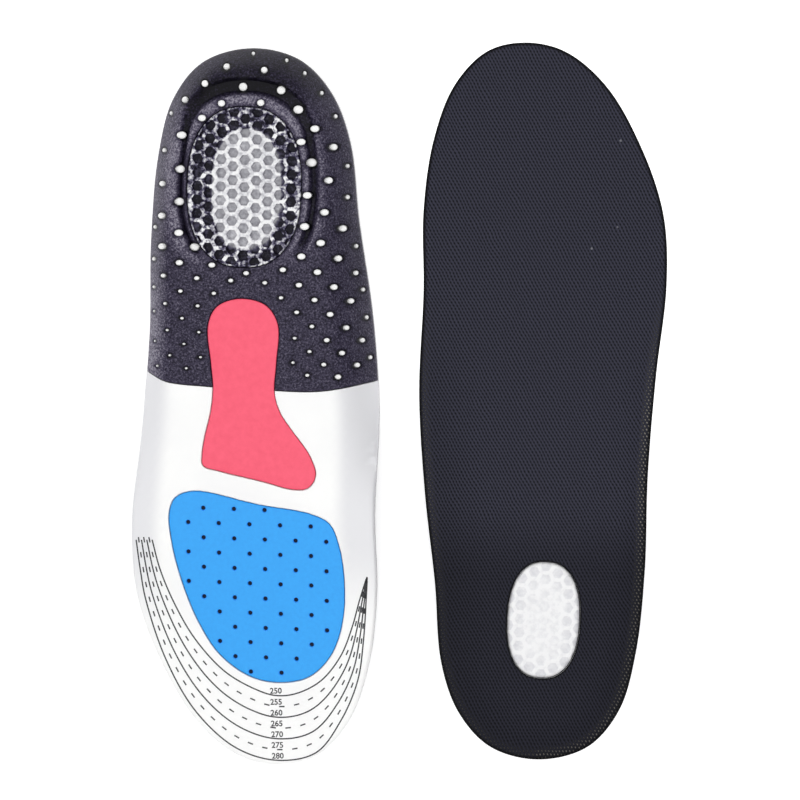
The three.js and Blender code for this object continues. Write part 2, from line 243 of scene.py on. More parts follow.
def sole_heights(places):
    """The foot side and the underside of a whole sole at each place."""
    inward, nearest = measured(places, sole_edge)
    inward = np.maximum(inward, 0)
    at = sole_edge[nearest]
    outer = smoothstep(-3, 3, at[:, 0])
    rise, width = (eased(OUTER_WALL, i, at[:, 1]) * outer + eased(INNER_WALL, i, at[:, 1]) * (1 - outer)
                   for i in (1, 2))
    thickness = HEEL_THICKNESS + (FOREFOOT_THICKNESS - HEEL_THICKNESS) * smoothstep(100, 185, places[:, 1])
    foot = thickness + rise * np.maximum(0, 1 - inward / (width * 1.6)) ** 2.2
    edge_rise = rise + (thickness - RIM_THICKNESS) * smoothstep(0, 8, rise)
    sole = edge_rise * np.maximum(0, 1 - inward / width) ** 1.7
    # Painted shade: the side flanges, fading out towards the toes, are greyed in the foam's colour.
    flank = smoothstep(width + 1, width - 6, inward) * smoothstep(232, 196, places[:, 1])
    return SimpleNamespace(foot=foot, sole=sole, inward=inward, wall=rise * (inward < width), flank=flank)


def rounding(distance, radius):
    """How far a rounded edge falls away, at a distance from it."""
    left = radius - np.clip(distance, 0, radius)
    return radius - np.sqrt(radius**2 - left**2)


def rounded_rings(loop, radius, side=-1):
    """Where vertices are needed beside a loop whose edge is rounded, on its inner side."""
    return [moved_out(loop, side * radius * share) for share in (0.134, 0.5, 1)]


def triangulated(loops, rings, spacing, cuts=()):
    """A plan's vertices and triangles. Loops and open cuts are kept as edges, rings are only vertices, and a
    grid of that spacing fills the rest."""
    fixed = [tuple(p) for line in [*loops, *cuts, *rings] for p in line]
    edges, start = [], 0
    for line, closed in [(line, True) for line in loops] + [(line, False) for line in cuts]:
        edges += [(start + i, start + i + 1) for i in range(len(line) - 1)]
        edges += [(start + len(line) - 1, start)] * closed
        start += len(line)
    near = KDTree(len(fixed))
    for i, p in enumerate(fixed):
        near.insert((*p, 0), i)
    near.balance()
    low, high = np.min(fixed, 0), np.max(fixed, 0)
    grid = []
    for row, y in enumerate(np.arange(low[1], high[1], spacing * 0.866)):
        for x in np.arange(low[0] + (row % 2) * spacing / 2, high[0], spacing):
            if near.find((x, y, 0))[2] > spacing * 0.55:
                grid.append((x, y))
    made = delaunay_2d_cdt([Vector(p) for p in fixed + grid], edges, [], 0, 1e-4, False)
    return np.array([tuple(p) for p in made[0]]), np.array([list(f) for f in made[2]])


def layered(places, triangles, kinds, lows, highs):
    """The closed body between each kind of area's lower and upper heights. Areas of kind -1 are left out."""
    points, found, levels = [], {}, {}

    def corner(vertex, height):
        key = (vertex, round(height * 10000))
        if key not in found:
            found[key] = len(points)
            points.append((*places[vertex], height))
            levels.setdefault(vertex, []).append(key[1])
        return found[key]

    def upright(vertex, low, high):
        between = range(round(low * 10000), round(high * 10000) + 1)
        return [found[vertex, level] for level in sorted(levels[vertex]) if level in between]

    faces, owner = [], {}
    for (a, b, c), kind in zip(triangles.tolist(), kinds.tolist()):
        if kind < 0:
            continue
        faces.append([corner(v, highs[kind][v]) for v in (a, b, c)])
        faces.append([corner(v, lows[kind][v]) for v in (c, b, a)])
        for pair in ((a, b), (b, c), (c, a)):
            owner[pair] = kind
    for (a, b), kind in owner.items():
        beyond = owner.get((b, a))
        if beyond == kind:
            continue
        spans = [(lows[kind], highs[kind])]
        if beyond is not None:
            spans = [(lows[kind], lows[beyond]), (highs[beyond], highs[kind])]
        for low, high in spans:
            if low[a] > high[a] + 1e-4 or low[b] > high[b] + 1e-4:
                continue
            face = upright(b, low[b], high[b]) + upright(a, low[a], high[a])[::-1]
            if len(face) > 2:
                faces.append(face)
    return np.array(points), faces


def placed(side):
    """Where an insole of that side lies: the matrix from its own drawing, in metres."""
    mark, heading, mirror = PLACES[side]
    mount = next(m for m in frame["record"]["mounts"] if m["name"] == mark)
    turn = Matrix.Rotation(heading, 4, "Z")
    if mirror < 0:
        faced = turn.inverted() @ Vector(mount["axis"])
        tilt = Vector((0, 0, 1)).rotation_difference(faced).to_matrix().to_4x4()
        turn = turn @ tilt @ Matrix.Rotation(math.pi, 4, "Y") @ Matrix.Diagonal((-1, 1, 1, 1))
    return Matrix.Translation(Vector(mount["pos_m"]) - turn @ TOE_MARK) @ turn


def piece_on(side, name, points, faces, material, sharp=42, **tones):
    """A finished piece on one insole. Its map holds the drawing's millimetres, and tones go in attributes."""
    mesh = bpy.data.meshes.new(f"{side}_{name}")
    mesh.from_pydata((points / 1000).tolist(), [], faces)
    for tone, values in tones.items():
        mesh.attributes.new(tone, "FLOAT", "POINT").data.foreach_set("value", values.astype(np.float32))
    corners = np.array([corner.vertex_index for corner in mesh.loops])
    mesh.uv_layers.new(name="plan").data.foreach_set("uv", points[corners, :2].astype(np.float32).ravel())
    mesh.transform(placed(side))
    if PLACES[side][2] < 0:
        mesh.flip_normals()
    mesh.shade_smooth()
    mesh.set_sharp_from_angle(angle=math.radians(sharp))
    mesh.materials.append(material)
    piece = bpy.data.objects.new(mesh.name, mesh)
    bpy.context.scene.collection.objects.link(piece)
    return piece


def node(material, kind, into=None, **settings):
    """Adds a node. Settings are its own properties or its inputs, by name or number, as values or links."""
    tree = getattr(material, "node_tree", material)
    made = tree.nodes.new(kind)
    for key, value in settings.items():
        if hasattr(made, key):
            setattr(made, key, value)
            continue
        socket = made.inputs[int(key[1:]) if key[1:].isdigit() else key.replace("_", " ").strip()]
        if isinstance(value, bpy.types.NodeSocket):
            tree.links.new(value, socket)
        else:
            socket.default_value = value
    if into is not None:
        tree.links.new(made.outputs[0], into)
    return made


def on_object(material):
    """Places on the object, in metres."""
    return node(material, "ShaderNodeTexCoord").outputs["Object"]


def noise(material, at, scale, detail, roughness=0.5):
    """A noise texture's value."""
    return node(material, "ShaderNodeTexNoise", Vector=at, Scale=scale, Detail=detail,
                Roughness=roughness).outputs[0]


def attribute(material, name):
    """The value that a mesh carries under that name."""
    return node(material, "ShaderNodeAttribute", attribute_name=name).outputs["Fac"]


def maths(material, operation, *values):
    """The result of one sum."""
    inputs = {f"_{i}": value for i, value in enumerate(values)}
    return node(material, "ShaderNodeMath", operation=operation, **inputs).outputs[0]


def ramp(material, factor, stops, into=None):
    """A colour ramp's colour."""
    made = node(material, "ShaderNodeValToRGB", into, Fac=factor)
    elements = made.color_ramp.elements
    while len(elements) < len(stops):
        elements.new(0.5)
    for element, (position, colour) in zip(elements, stops):
        element.position, element.color = position, linear(colour)
    return made.outputs[0]


# Moulded EVA foam: a closed skin that is satin rather than shiny, with a fine grain from the mould's blasted
# steel and very faint clouds where the foam is denser. The grain is taken as 0.2 mm, and drawn at 0.5 mm.
# The side flanges are mixed towards grey: painted shade, for slopes that turn away from the light.
white_foam, shader = material_named("eva_foam_white_moulded", "#F4F4F3", 0.55)
spot = on_object(white_foam)
clouds = noise(white_foam, spot, 45.0, 3.0)
grain = noise(white_foam, spot, 2000.0, 2.0)
flank = attribute(white_foam, "flank")
skin = ramp(white_foam, clouds, [(0.3, "#F6F6F6"), (0.7, "#FBFBFA")])
# Painted shade: the side flanges mix towards grey.
drawn = node(white_foam, "ShaderNodeMix", data_type="RGBA", _0=flank, _6=skin, _7=linear("#E4E4E7"))
white_foam.node_tree.links.new(drawn.outputs[2], shader.inputs["Base Color"])
node(white_foam, "ShaderNodeMapRange", shader.inputs["Roughness"], Value=grain, To_Min=0.48, To_Max=0.62)
dents = node(white_foam, "ShaderNodeBump", Height=clouds, Strength=0.25, Distance=0.0012)
node(white_foam, "ShaderNodeBump", shader.inputs["Normal"], Height=grain, Strength=0.25, Distance=0.0001,
     Normal=dents.outputs[0])

gap_window = moved_out(window_edge, GLUE_GAP)
arch_pocket = moved_out(arch_edge, GLUE_GAP)
pad_pocket = moved_out(pad_edge, GLUE_GAP)
step_line = resampled(front_line + (0, GLUE_GAP), 1.2, closed=False)
step_line = step_line[measured(step_line, moved_out(sole_edge, -0.5))[0] > 0]
base_rings = (rounded_rings(sole_edge, 1.2) + rounded_rings(arch_pocket, 0.45, 1)
              + rounded_rings(pad_pocket, 0.45, 1))
places, triangles = triangulated(
    [sole_edge, gap_window, arch_pocket, pad_pocket], base_rings, 3.0, cuts=[step_line])
middles = places[triangles].mean(1)
in_front = middles[:, 1] > shell_front(middles[:, 0]) + GLUE_GAP
in_pocket = (measured(middles, arch_pocket)[0] > 0) | (measured(middles, pad_pocket)[0] > 0)
kinds = np.where(in_front, np.where(in_pocket, 1, 0), 2)
kinds[(measured(middles, sole_edge)[0] < 0) | (measured(middles, gap_window)[0] > 0)] = -1
sole = sole_heights(places)
pocket_gap = np.minimum(-measured(places, arch_pocket)[0], -measured(places, pad_pocket)[0])
tucked = rounding(sole.inward, 1.2) * smoothstep(0, 2, FOREFOOT_THICKNESS - sole.wall)
underside = sole.sole + tucked + np.where(pocket_gap >= 0, rounding(pocket_gap, 0.45), 0)
top = sole.foot - COVER_THICKNESS - GLUE_GAP
liner = top - LINER_THICKNESS
points, faces = layered(
    places, triangles, kinds,
    [np.minimum(underside, liner), np.full(len(places), POCKET_DEPTH) + sole.sole, liner],
    [top, top, top],
)
flank = sole_heights(points[:, :2]).flank
for side in PLACES:
    base = piece_on(side, "moulded_foam_base", points, faces, white_foam, flank=flank)
    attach(base, f"{side}_insole")
    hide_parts(f"{side}_foam_base")


# ---- The heel shell ----
# The black underside of the heel cup and the waist is a second, firmer EVA moulding. Pins in the mould
# perforate it in staggered rows, and a groove is pressed round the back of the gel pad's bed.

# The same foam with carbon black: the skin's grain catches light, so it looks speckled.
# The "tone" attribute is painted light and shade: painted shade in the groove, at the heel end and round the
# pins' marks, and painted highlights on the ridges and along the outer side's edge.
black_foam, shader = material_named("eva_foam_black_moulded", "#23212B", 0.48)
shader.inputs["Specular IOR Level"].default_value = 0.14
spot = on_object(black_foam)
grain = noise(black_foam, spot, 1300.0, 3.0, 0.7)
clouds = noise(black_foam, spot, 60.0, 2.0)
tone = attribute(black_foam, "tone")
toned = maths(black_foam, "MULTIPLY_ADD", tone, 0.22, grain)
ramp(black_foam, toned,
     [(0.26, "#05040B"), (0.38, "#1D1929"), (0.5, "#322E40"), (0.62, "#504B5E"), (0.8, "#928E9B")],
     shader.inputs["Base Color"])
node(black_foam, "ShaderNodeMapRange", shader.inputs["Roughness"], Value=clouds, To_Min=0.4, To_Max=0.56)
dents = node(black_foam, "ShaderNodeBump", Height=clouds, Strength=0.3, Distance=0.0012)
node(black_foam, "ShaderNodeBump", shader.inputs["Normal"], Height=grain, Strength=0.5, Distance=0.00015,
     Normal=dents.outputs[0])

GEL = (45.4, 63.4)
GEL_BED = 4.3
GROOVE_DEPTH, GROOVE_FRONT = 2.6, 80
HEEL_PINS = dict(start=(-15.4, 0.6), across=15.15, narrowing=0.00019, along=7.5, closing=0.068,
                 lean=-0.118, levelling=0.0003, drift=0.155, bending=0.00042)
PIN_SIDES = 14
PIN_ANGLES = np.linspace(0, 2 * np.pi, PIN_SIDES, endpoint=False)


def pin_grid(start, across, along, closing, lean, drift, narrowing=0, levelling=0, bending=0):
    """Staggered rows that lean, drift sideways, close up and narrow towards the toes."""
    row, column = np.mgrid[0:40, -6:7].reshape(2, -1)
    advance = along * row - closing * row**2
    x = (start[0] + (across - narrowing * advance**2) * (column + row % 2 / 2)
         + drift * advance - bending * advance**2)
    return np.stack([x, start[1] + advance + (lean + levelling * advance) * x], 1)


def pin_rings(centres, radii, away, stretches):
    """A ring round each hole, that far outside its edge, stretched across the sole."""
    ring = np.stack([np.cos(PIN_ANGLES), np.sin(PIN_ANGLES)], 1)
    return [centre + ring * (stretch, 1) * (radius + away)
            for centre, radius, stretch in zip(centres, radii, stretches)]


def to_pins(places, centres, radii, stretches):
    """How far each place is outside the nearest hole's edge."""
    gap = places[:, None] - centres
    return (np.hypot(gap[..., 0] / stretches, gap[..., 1]) - radii).min(1)


def groove_at(places):
    """How far each place is outside the gel's edge, and its share of the groove's depth. The groove is wide
    round the back of the heel and narrow on the little toe's side."""
    beyond = -measured(places, gel_edge)[0]
    heading = (places - GEL_MIDDLE) @ GEL_TURN.T / GEL
    heading /= np.linalg.norm(heading, axis=1)[:, None]
    back = smoothstep(0.3, 0.85, -heading[:, 1])
    outer = smoothstep(-0.2, 0.4, heading[:, 0]) * (1 - back)
    inner = 1 - back - outer
    low = 4.6 * back + 1.1 * outer + 2.6 * inner
    high = 12.5 * back + 4.6 * outer + 7.6 * inner
    share = smoothstep(low, low + 1.6, beyond) * smoothstep(high, high - 2, beyond)
    return beyond, share * smoothstep(GROOVE_FRONT + 5, GROOVE_FRONT - 5, places[:, 1])


gel_edge = oval(*GEL)
gel_bed = moved_out(gel_edge, GLUE_GAP)
PIN_GAP, PIN_ROUND = 2.3, 0.6
GEL_CROWDS, RIM_CROWDS, RIM_GAP, RIM_LEAST = 1.6, 1.5, 2.2, 1.7
heel_pins = pin_grid(**HEEL_PINS)
from_gel, nearest = measured(heel_pins, gel_edge)
crowded = ((from_gel > -PIN_GAP) & (from_gel < GEL_CROWDS))[:, None]
heel_pins = np.where(crowded, moved_out(gel_edge, PIN_GAP)[nearest], heel_pins)
from_edge, nearest = measured(heel_pins, sole_edge)
crowded = ((from_edge > -RIM_CROWDS) & (from_edge < RIM_GAP))[:, None]
heel_pins = np.where(crowded, moved_out(sole_edge, -RIM_GAP)[nearest], heel_pins)
from_edge, from_gel, from_arch = (measured(heel_pins, loop)[0] for loop in (sole_edge, gel_edge, arch_edge))
kept = ((from_edge > RIM_LEAST) & (from_gel < 0.1 - PIN_GAP) & (from_arch < -PIN_GAP)
        & (heel_pins[:, 1] < shell_front(heel_pins[:, 0]) - PIN_GAP))
heel_pins, from_edge = heel_pins[kept], from_edge[kept]
groove_share = groove_at(heel_pins)[1]
mid_waist = smoothstep(78, 94, heel_pins[:, 1]) * smoothstep(-22, -8, heel_pins[:, 0])
fading = smoothstep(70, 122, heel_pins[:, 1]) * (1 - 0.5 * smoothstep(-24, -32, heel_pins[:, 0]))
pin_radii = (1.35 - 0.7 * fading) * (1 - 0.3 * mid_waist)
pin_radii = pin_radii * (1 - groove_share) + 1.7 * groove_share
pin_radii = np.minimum(pin_radii, 0.9 + 0.5 * smoothstep(2, 7, from_edge) + groove_share)
pin_stretches = 1 + 0.35 * smoothstep(12, 36, heel_pins[:, 1])
pin_stretches = pin_stretches * (0.75 + 0.25 * smoothstep(2, 6, from_edge))

GROOVE_RINGS = (1.1, 1.9, 2.7, 3.5, 4.4, 5.4, 6.5, 7.7, 9, 10.4, 11.8, 13)
shell_rings = (rounded_rings(sole_edge, 0.9) + rounded_rings(gel_bed, 0.5, 1)
               + rounded_rings(arch_pocket, 0.45, 1)
               + [moved_out(gel_edge, away) for away in GROOVE_RINGS]
               + [front_line - (0, away) for away in (0.1, 0.25, 0.5)])
for share in (0.134, 0.5, 1, 1.8):
    shell_rings += pin_rings(heel_pins, pin_radii, PIN_ROUND * share, pin_stretches)
shell_cut = resampled(front_line, 1.2, closed=False)
shell_cut = shell_cut[measured(shell_cut, moved_out(sole_edge, -0.4))[0] > 0]
places, triangles = triangulated(
    [sole_edge, gap_window, gel_bed, arch_pocket, *pin_rings(heel_pins, pin_radii, 0, pin_stretches)],
    shell_rings, 2.4, cuts=[shell_cut])
middles = places[triangles].mean(1)
kinds = np.zeros(len(middles), int)
kinds[measured(middles, gel_bed)[0] > 0] = 1
kinds[measured(middles, arch_pocket)[0] > 0] = 2
gone = ((measured(middles, sole_edge)[0] < 0) | (measured(middles, gap_window)[0] > 0)
        | (middles[:, 1] > shell_front(middles[:, 0]))
        | (to_pins(middles, heel_pins, pin_radii, pin_stretches) < 0))
kinds[gone] = -1


def shell_underside(places):
    """The shell's pressed underside: the sole with its groove, and every edge rounded."""
    sole = sole_heights(places)
    beyond_gel, groove = groove_at(places)
    beyond_arch = -measured(places, arch_pocket)[0]
    edges = (rounding(sole.inward, 0.9)
             + np.where(beyond_gel > GLUE_GAP, rounding(beyond_gel - GLUE_GAP, 0.5), 0)
             + np.where(beyond_arch >= 0, rounding(beyond_arch, 0.45), 0)
             + rounding(np.maximum(shell_front(places[:, 0]) - places[:, 1], 0), 0.5))
    return sole.sole + GROOVE_DEPTH * groove + edges, sole


underside, sole = shell_underside(places)
mouths = rounding(np.maximum(to_pins(places, heel_pins, pin_radii, pin_stretches), 0), PIN_ROUND)
top = sole.foot - COVER_THICKNESS - 2 * GLUE_GAP - LINER_THICKNESS
lows = [np.minimum(underside + mouths, top - 0.3)]
lows += [np.full(len(places), low) for low in (GEL_BED, POCKET_DEPTH)]
points, faces = layered(places, triangles, kinds, lows, [top, top, top])
plan = points[:, :2]
beyond_gel, groove = groove_at(plan)
beyond_pin = to_pins(plan, heel_pins, pin_radii, pin_stretches)
# Painted light and shade for the shell's colour: painted highlights on the ridge round the gel's bed and
# along the outer side's edge, painted shade in the groove, at the heel end and round every pin mark.
ridge_highlight = smoothstep(0.6, 1.8, beyond_gel) * smoothstep(12, 6, beyond_gel) * smoothstep(90, 74, plan[:, 1])
rim_light = (0.4 + 0.5 * smoothstep(70, 105, plan[:, 1])) * smoothstep(11, 2, sole_heights(plan).inward)
heel_end_shade = smoothstep(26, 10, plan[:, 1]) * smoothstep(4, 7, beyond_gel)
tone = 0.8 * ridge_highlight * (1 - groove) - 0.85 * groove + rim_light * smoothstep(0, 24, plan[:, 0])
tone = tone - 0.6 * heel_end_shade - 0.9 * smoothstep(1.3, 0.2, beyond_pin)
for side in PLACES:
    shell = piece_on(side, "perforated_heel_shell", points, faces, black_foam, tone=tone)
    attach(shell, f"{side}_insole")
    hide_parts(f"{side}_heel_shell")


# ---- The foam in the pin holes ----
# White base foam shows in every hole of the shell: while it is hot it swells into the holes from above and
# sets as a low dome, just inside the black skin.

def new_tree(name, **inputs):
    """A geometry node tree with named inputs, and its input and output nodes."""
    tree = bpy.data.node_groups.new(name, "GeometryNodeTree")
    tree.interface.new_socket("Geometry", in_out="OUTPUT", socket_type="NodeSocketGeometry")
    tree.interface.new_socket("Geometry", in_out="INPUT", socket_type="NodeSocketGeometry")
    for socket, kind in inputs.items():
        tree.interface.new_socket(socket.replace("_", " "), in_out="INPUT", socket_type="NodeSocket" + kind)
    return tree, tree.nodes.new("NodeGroupInput").outputs, tree.nodes.new("NodeGroupOutput").inputs[0]


def grown(tree, seed, **inputs):
    """The plain mesh that a tree makes from a seed mesh."""
    grower = bpy.data.objects.new("grower", seed)
    bpy.context.scene.collection.objects.link(grower)
    modifier = grower.modifiers.new("grow", "NODES")
    modifier.node_group = tree
    for socket in tree.interface.items_tree:
        if socket.in_out == "INPUT" and socket.name.replace(" ", "_") in inputs:
            modifier[socket.identifier] = inputs[socket.name.replace(" ", "_")]
    bpy.context.view_layer.update()
    graph = bpy.context.evaluated_depsgraph_get()
    mesh = bpy.data.meshes.new_from_object(grower.evaluated_get(graph), depsgraph=graph)
    bpy.data.objects.remove(grower)
    return mesh


def seed_points(places, **values):
    """A mesh of loose points in metres, with an attribute for each value."""
    seed = bpy.data.meshes.new("seed")
    seed.from_pydata((places / 1000).tolist(), [], [])
    for name, value in values.items():
        seed.attributes.new(name, "FLOAT", "POINT").data.foreach_set("value", value.astype(np.float32))
    return seed


def settled(side, name, mesh):
    """A grown mesh as a finished piece on one insole."""
    mesh.name = f"{side}_{name}"
    mesh.transform(placed(side))
    if PLACES[side][2] < 0:
        mesh.flip_normals()
    piece = bpy.data.objects.new(mesh.name, mesh)
    bpy.context.scene.collection.objects.link(piece)
    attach(piece, f"{side}_insole")
    return piece


pip_tree, given, result = new_tree("foam_pips", Crown="Float", Foam="Material")
sphere = node(pip_tree, "GeometryNodeMeshUVSphere", Segments=PIN_SIDES, Rings=6, Radius=1.0)
dome = node(pip_tree, "GeometryNodeSetShadeSmooth", Geometry=sphere.outputs[0])
radius = node(pip_tree, "GeometryNodeInputNamedAttribute", data_type="FLOAT", Name="radius").outputs[0]
stretch = node(pip_tree, "GeometryNodeInputNamedAttribute", data_type="FLOAT", Name="stretch").outputs[0]
wide = maths(pip_tree, "MULTIPLY", radius, stretch)
size = node(pip_tree, "ShaderNodeCombineXYZ", X=wide, Y=radius, Z=given["Crown"]).outputs[0]
spread = node(pip_tree, "GeometryNodeInstanceOnPoints", Points=given["Geometry"],
              Instance=dome.outputs[0], Scale=size)
whole = node(pip_tree, "GeometryNodeRealizeInstances", Geometry=spread.outputs[0])
node(pip_tree, "GeometryNodeSetMaterial", result, Geometry=whole.outputs[0], Material=given["Foam"])

PIP_CROWN, PIP_SUNK = 0.5, -0.05
pip_heights = shell_underside(heel_pins)[0] + PIP_SUNK + PIP_CROWN
pip_heights += 0.5 * (sole_heights(heel_pins * (1.02, 1)).sole - sole_heights(heel_pins).sole)
for side in PLACES:
    seed = seed_points(np.column_stack([heel_pins, pip_heights]), radius=(pin_radii - 0.02) / 1000,
                       stretch=pin_stretches)
    pips = settled(side, "foam_pips", grown(pip_tree, seed, Crown=PIP_CROWN / 1000, Foam=white_foam))


# ---- The gel heel pad ----
# A clear thermoplastic gel cushion, cast with a honeycomb of blind cells on its underside. Its flange lies in
# the shell's bed, and a thick plug stands up through the window to meet the heel.

# Clear gel, wet-looking and glossy. Its colour paints what shows through it: over the black shell its cells
# are painted almost black and its walls smoky, and in the window the thick plug scatters light and is painted
# milky and bright, as painted backlight. One attribute is how milky each place is painted, and the other how
# unevenly painted ripples bend what is behind it, with patches of painted white glints.
gel, shader = material_named("thermoplastic_gel_clear", "#B9B9C0", 0.2)
shader.inputs["Specular IOR Level"].default_value = 0.12
spot = on_object(gel)
milk = attribute(gel, "milk")
streaky = attribute(gel, "streaky")
flow = noise(gel, spot, 620.0, 3.0)
shifted = node(gel, "ShaderNodeMapRange", Value=flow, From_Min=0.35, From_Max=0.65, To_Min=-0.5, To_Max=0.5)
rippled = maths(gel, "MULTIPLY_ADD", shifted.outputs[0], streaky, milk)
# Painted highlights: patches of white glints, strongest where the ripples are.
patches = noise(gel, spot, 150.0, 1.0)
bright = node(gel, "ShaderNodeMapRange", Value=patches, From_Min=0.52, From_Max=0.66, To_Max=1.1).outputs[0]
glints = maths(gel, "MULTIPLY", bright, streaky)
shade = maths(gel, "MULTIPLY_ADD", glints, flow, rippled)
ramp(gel, shade,
     [(0.05, "#0F0B1E"), (0.3, "#55516A"), (0.55, "#9C9BA3"), (0.8, "#DADADE"), (0.97, "#F3F3F4")],
     shader.inputs["Base Color"])
node(gel, "ShaderNodeBump", shader.inputs["Normal"], Height=flow, Strength=0.6, Distance=0.0005)

GEL_BOTTOM, GEL_FLANGE_TOP, CELL_TOP = 0.6, 4.0, 3.1
PLUG_TOP = HEEL_THICKNESS - 0.6
CELL_PITCH, CELL_ACROSS, CELL_ROUND = 5.4, 3.6, 0.6

column, row = np.mgrid[-7:8, -7:8].reshape(2, -1)
cells = np.stack([column * CELL_PITCH * math.sqrt(3) / 2, (row + column % 2 / 2) * CELL_PITCH], 1)
cells = cells @ GEL_TURN + GEL_MIDDLE
cells = cells[measured(cells, gel_edge)[0] > -0.6]
cell_limit = moved_out(gel_edge, -0.8)


def cell_loop(centre, away):
    """A cell's rounded hexagon, grown by that much."""
    corners = np.radians(np.arange(0, 360, 60))
    flat = (CELL_ACROSS / 2 - CELL_ROUND) / math.cos(math.pi / 6)
    loop = [(flat * math.cos(corner) + (CELL_ROUND + away) * math.cos(corner + lean),
             flat * math.sin(corner) + (CELL_ROUND + away) * math.sin(corner + lean))
            for corner in corners for lean in (-0.45, 0, 0.45)]
    return np.array(loop) @ GEL_TURN + centre


def to_cells(places):
    """How far each place is outside the nearest cell's edge."""
    gap = np.abs((places[:, None] - cells) @ GEL_TURN.T)
    corner_on = np.maximum(gap[..., 1], gap[..., 0] * math.cos(math.pi / 6) + gap[..., 1] / 2)
    return np.maximum((corner_on - CELL_ACROSS / 2).min(1), -measured(places, cell_limit)[0])


gel_rings = rounded_rings(gel_edge, 0.5) + rounded_rings(window_edge, 1.4)
for away in (0.05, 0.18, 0.35):
    gel_rings += [cell_loop(cell, away) for cell in cells]
places, triangles = triangulated(
    [gel_edge, cell_limit, window_edge, *[cell_loop(cell, 0) for cell in cells]], gel_rings, 1.6)
middles = places[triangles].mean(1)
in_cell, in_plug = to_cells(middles) < 0.01, measured(middles, window_edge)[0] > 0
kinds = in_cell + 2 * in_plug
kinds[measured(middles, gel_edge)[0] < 0] = -1
beyond_cell = to_cells(places)
gel_inward, plug_inward = measured(places, gel_edge)[0], measured(places, window_edge)[0]
lip = GEL_BOTTOM + rounding(np.maximum(gel_inward, 0), 0.5) + rounding(np.maximum(beyond_cell, 0), 0.35)
roof = np.full(len(places), float(CELL_TOP))
flange = np.full(len(places), float(GEL_FLANGE_TOP))
crown = PLUG_TOP - rounding(np.maximum(plug_inward, 0), 1.4) - 0.15 * smoothstep(0.2, -0.6, beyond_cell)
points, faces = layered(places, triangles, kinds, [lip, roof, lip, roof], [flange, flange, crown, crown])
plan = points[:, :2]
seen_plug = oval(28, 48) + (-0.6, 0.9)
in_plug = smoothstep(-0.3, 0.3, measured(plan, seen_plug)[0])
in_cell = smoothstep(0.3, 0.0, to_cells(plan))
# Painted see-through and backlight: from below, dark over the black shell and bright across the plug; from
# above, milky, with cells a little darker towards the window's edge.
from_below = (0.36 - 0.32 * in_cell) * (1 - in_plug) + (0.84 - 0.2 * in_cell) * in_plug
from_above = 0.96 - (0.04 + 0.1 * smoothstep(9, 1, measured(plan, window_edge)[0])) * in_cell
above = points[:, 2] > 4.5
milk = np.where(above, from_above, from_below)
streaky = np.where(above, 0.08, (0.95 - 0.75 * in_cell) * (1 - in_plug) + (0.3 - 0.15 * in_cell) * in_plug)
for side in PLACES:
    pad = piece_on(side, "honeycomb_gel_pad", points, faces, gel, milk=milk, streaky=streaky)
    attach(pad, f"{side}_insole")
    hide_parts(f"{side}_gel_heel_pad")


# ---- The arch support ----
# A firm, springy red moulding, die-cut from hot-pressed foam and glued flush into its pocket across the
# waist, so that it bridges the shell and the base.

# Pressed closed-cell foam: satin, with faint darker mottling where cells lie open under the skin.
red_foam, shader = material_named("pressed_foam_red", "#F8566F", 0.5)
spot = on_object(red_foam)
mottle = noise(red_foam, spot, 330.0, 4.0, 0.65)
ramp(red_foam, mottle, [(0.3, "#F4506C"), (0.65, "#FA5A75")], shader.inputs["Base Color"])
node(red_foam, "ShaderNodeMapRange", shader.inputs["Roughness"], Value=mottle, To_Min=0.42, To_Max=0.6)
node(red_foam, "ShaderNodeBump", shader.inputs["Normal"], Height=mottle, Strength=0.35, Distance=0.0003)

INSERT_THICKNESS = 2.2
places, triangles = triangulated([arch_edge], rounded_rings(arch_edge, 0.5), 2.5)
inward = measured(places, arch_edge)[0]
kinds = np.where(measured(places[triangles].mean(1), arch_edge)[0] > 0, 0, -1)
edges = rounding(np.maximum(inward, 0), 0.5)
points, faces = layered(places, triangles, kinds, [edges], [INSERT_THICKNESS - edges])
for side in PLACES:
    arch = piece_on(side, "pressed_arch_support", points, faces, red_foam)
    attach(arch, f"{side}_insole")
    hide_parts(f"{side}_arch_support")


# ---- The forefoot pad ----
# A softer blue foam cushion under the ball of the foot, die-cut, punched with staggered breathing holes and
# glued flush into its pocket.

# Blue open-cell foam: nearly matt. Round each punched hole the colour is painted: a pale-blue tint on the
# hole's rounded lip as painted highlight, and dark down the hole's wall as painted shade.
blue_foam, shader = material_named("cushion_foam_blue_punched", "#32A7F9", 0.62)
spot = on_object(blue_foam)
pit = attribute(blue_foam, "pit")
mottle = noise(blue_foam, spot, 700.0, 3.0, 0.6)
skin = ramp(blue_foam, mottle, [(0.3, "#289FF3"), (0.7, "#2CA7F8")])
# Painted light and shade round the holes, multiplied into the blue.
hole_shading = ramp(blue_foam, pit, [(0.0, "#6CC4FF"), (0.22, "#FFFFFF"), (0.45, "#FFFFFF"), (1.0, "#0A1830")])
tinted = node(blue_foam, "ShaderNodeMix", data_type="RGBA", blend_type="MULTIPLY", _0=1.0, _6=skin, _7=hole_shading)
blue_foam.node_tree.links.new(tinted.outputs[2], shader.inputs["Base Color"])
node(blue_foam, "ShaderNodeBump", shader.inputs["Normal"], Height=mottle, Strength=0.3, Distance=0.0002)

